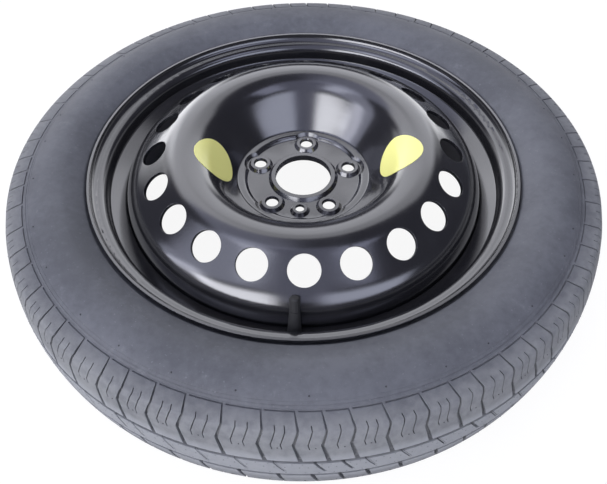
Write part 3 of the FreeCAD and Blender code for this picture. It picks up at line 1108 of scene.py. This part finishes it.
@dataclass
class Studio:
    """Floor, panels of light and the camera."""

    floor_height: float = -0.085
    floor_half: float = 6.0
    fill: Colour = (0.08, 0.08, 0.10)
    panels: tuple[Panel, ...] = (
        Panel((17.0, 61.0), (-37.0, 31.0), (0.97, 0.98, 1.05), 1.10, (8.0, 14.0)),
        Panel((17.0, 46.0), (-8.0, 31.0), (0.97, 0.98, 1.05), 0.55, (8.0, 14.0)),
        Panel((17.0, 61.0), (-37.0, -8.0), (0.97, 0.98, 1.05), 0.55, (8.0, 14.0)),
        Panel((-8.0, 17.0), (-44.0, -15.0), (0.98, 0.99, 1.03), 2.00, (8.0, 10.0)),
        Panel((-8.0, 17.0), (15.0, 39.0), (0.98, 0.99, 1.03), 1.75, (8.0, 10.0)),
        Panel((-8.0, 40.0), (-52.0, -23.0), (0.98, 0.99, 1.03), 1.00, (14.0, 10.0)),
        Panel((-8.0, 34.0), (24.0, 41.0), (0.98, 0.99, 1.03), 0.50, (10.0, 8.0)),
        Panel((61.0, 95.0), (-32.0, -3.0), (0.86, 0.90, 1.20), 0.70, (8.0, 12.0)),
        Panel((87.0, 122.0), (-75.0, -14.0), (0.88, 0.92, 1.18), 1.20, (14.0, 10.0)),
        Panel((96.0, 116.0), (-29.0, -15.0), (0.92, 0.95, 1.15), 1.40, (8.0, 8.0)),
        Panel((112.0, 141.0), (-80.0, -48.0), (0.94, 0.96, 1.12), 2.60, (16.0, 12.0)),
        Panel((131.0, 174.0), (-57.0, -15.0), (0.98, 0.99, 1.07), 5.40, (16.0, 10.0)),
        Panel((129.0, 160.0), (9.0, 54.0), (0.89, 0.94, 1.17), 2.15, (14.0, 12.0)),
        Panel((95.0, 119.0), (13.0, 30.0), (0.86, 0.90, 1.22), 1.30, (8.0, 8.0)),
        Panel((92.0, 150.0), (-14.0, 12.0), (0.84, 0.88, 1.24), 0.45, (10.0, 8.0)),
    )
    eye: tuple[float, float, float] = (0.361, -509.908, 517.444)
    focal: float = 685.396
    pitch: float = 50.642
    yaw: float = -0.0018
    roll: float = -0.0126
    sensor: float = 36.0

    def floor(self) -> bpy.types.Object:
        """The plain floor under the tyre.

        Returns:
            The floor's object.
        """
        h, z = self.floor_half, self.floor_height
        corners = np.array([(-h, -h, z), (h, -h, z), (h, h, z), (-h, h, z)])
        made = mesh_object("floor", corners, [(0, 1, 2, 3)])
        made.data.materials.append(FloorFinish().material())
        return made

    def light(self) -> None:
        """The panels as one surrounding light, white to the eye."""
        world = bpy.data.worlds.new("studio_light")
        world.use_nodes = True
        bpy.context.scene.world = world
        graph = Graph(world.node_tree)
        around = graph.node("ShaderNodeTexCoord").outputs["Generated"]
        way = graph.node("ShaderNodeSeparateXYZ", None, {0: around})
        x, y, z = (Value(graph, way.outputs[i]) for i in range(3))
        over = graph.math("ARCTAN2", z, y) * (180 / math.pi)
        aside = graph.math("ARCSINE", x) * (180 / math.pi)
        glow: bpy.types.NodeSocket | Colour = self.fill
        for panel in self.panels:
            high = self.band(graph, over, panel.over, panel.soft[0])
            mask = high * self.band(graph, aside, panel.aside, panel.soft[1])
            lit = tuple(channel * panel.strength for channel in panel.colour)
            tint = graph.mix(mask, (0.0, 0.0, 0.0), lit)
            glow = graph.node("ShaderNodeMix", {"data_type": "RGBA", "blend_type": "ADD"},
                              {0: 1.0, 6: glow, 7: tint}).outputs[2]
        seen = Value(graph, graph.node("ShaderNodeLightPath").outputs["Is Camera Ray"])
        shown = graph.mix(seen, glow, (1.0, 1.0, 1.0))
        back = graph.node("ShaderNodeBackground", None, {"Color": shown, "Strength": 1.0})
        graph.node("ShaderNodeOutputWorld", None, {"Surface": back.outputs[0]})

    @staticmethod
    def band(graph: Graph, angle: "Value", reach: tuple[float, float], soft: float) -> "Value":
        """Soft-edged mask of an angle within a reach."""
        return graph.step(angle, reach[0] - soft / 2, reach[0] + soft / 2) * graph.step(
            angle, reach[1] + soft / 2, reach[1] - soft / 2)

    def camera(self) -> bpy.types.Object:
        """The camera at the photograph's place.

        Returns:
            The camera's object.
        """
        data = bpy.data.cameras.new("camera")
        data.sensor_fit, data.sensor_width = "HORIZONTAL", self.sensor
        data.lens = self.focal / PHOTO_WIDTH * self.sensor
        data.clip_start, data.clip_end = 0.01, 50.0
        pitch = math.radians(self.pitch)
        level = math.cos(pitch)
        ahead = Vector((math.sin(self.yaw) * level, math.cos(self.yaw) * level, -math.sin(pitch)))
        right = Vector((math.cos(self.yaw), -math.sin(self.yaw), 0.0))
        up = right.cross(ahead)
        c, s = math.cos(self.roll), math.sin(self.roll)
        right, up = c * right + s * up, c * up - s * right
        turn = Matrix((right, up, -ahead)).transposed().to_4x4()
        made = bpy.data.objects.new("camera", data)
        made.matrix_world = Matrix.Translation(Vector(self.eye) * MM) @ turn
        bpy.context.scene.collection.objects.link(made)
        bpy.context.scene.camera = made
        return made

    def build(self) -> None:
        """Sets the floor, the light, the camera and the plain view transform."""
        self.floor()
        self.light()
        self.camera()
        bpy.context.scene.view_settings.view_transform = "Standard"


def main() -> None:
    """Builds the dressed wheel and its studio in order."""
    logging.basicConfig(level=logging.INFO, format="%(name)s: %(message)s")
    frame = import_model()
    paint = WheelPaint()
    rubber = MouldedBlack("valve_rubber", roughness=0.26)
    brass = BareMetal("valve_brass", (0.72, 0.55, 0.28), (0.50, 0.36, 0.17))
    steel = BareMetal("valve_steel")
    film = LabelFilm()
    finishes: dict[str, Finish] = {name: paint for name in ("wheel_disc", "wheel_rim")}
    finishes.update({f"weld_seam_{number}": paint for number in range(1, 5)})
    finishes.update({"valve_body": rubber, "core_seal": rubber, "cap_seal": rubber})
    finishes.update({"valve_stem": brass, "core_body": brass, "core_pin": steel, "core_spring": steel})
    finishes["valve_cap"] = MouldedBlack("cap_plastic", roughness=0.11, grain=2600.0)
    finishes.update({"speed_label_left": film, "speed_label_right": film})
    FrameDress(finishes).dress(frame["nodes"])
    for piece in Tyre().build():
        LOG.info("built %s with %d faces", piece.name, len(piece.data.polygons))
    Studio().build()
    bpy.context.view_layer.update()


if __name__ == "__main__":
    main()
